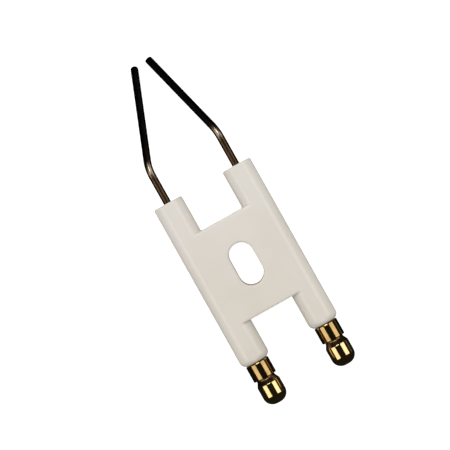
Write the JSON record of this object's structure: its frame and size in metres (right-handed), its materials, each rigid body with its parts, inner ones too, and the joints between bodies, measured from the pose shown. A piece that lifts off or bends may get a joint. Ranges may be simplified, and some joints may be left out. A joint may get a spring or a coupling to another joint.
{
  "type": "ignition electrode",
  "caption": "Twin ignition electrode: a ceramic block of parallel tubes joined by a slotted web, with bent rods whose tips form a spark gap, and brass snap terminals.",
  "frame": {"origin": "middle of the slot in the web, on the web's underside, where the holder clamps it", "axes": "+Y along the tubes towards the spark tips, +X towards the right tube, +Z out of the web's top face, away from the side that the rods drop to"},
  "size_m": [0.028, 0.0936, 0.014],
  "materials": {
    "glazed_ceramic": "semi-gloss glaze",
    "oxidised_rod": "dark heat-treated scale, smooth",
    "stud_steel": "plain turned steel",
    "terminal_brass": "turned and polished",
    "cement": "matt, fired"
  },
  "bodies": {
    "root": {"insulator_body": "glazed_ceramic", "left_electrode_rod": "oxidised_rod", "left_terminal_stud": "stud_steel", "left_terminal": "terminal_brass", "left_lower_cement": "cement", "left_upper_cement": "cement", "right_electrode_rod": "oxidised_rod", "right_terminal_stud": "stud_steel", "right_terminal": "terminal_brass", "right_lower_cement": "cement", "right_upper_cement": "cement"}
  },
  "joints": []
}
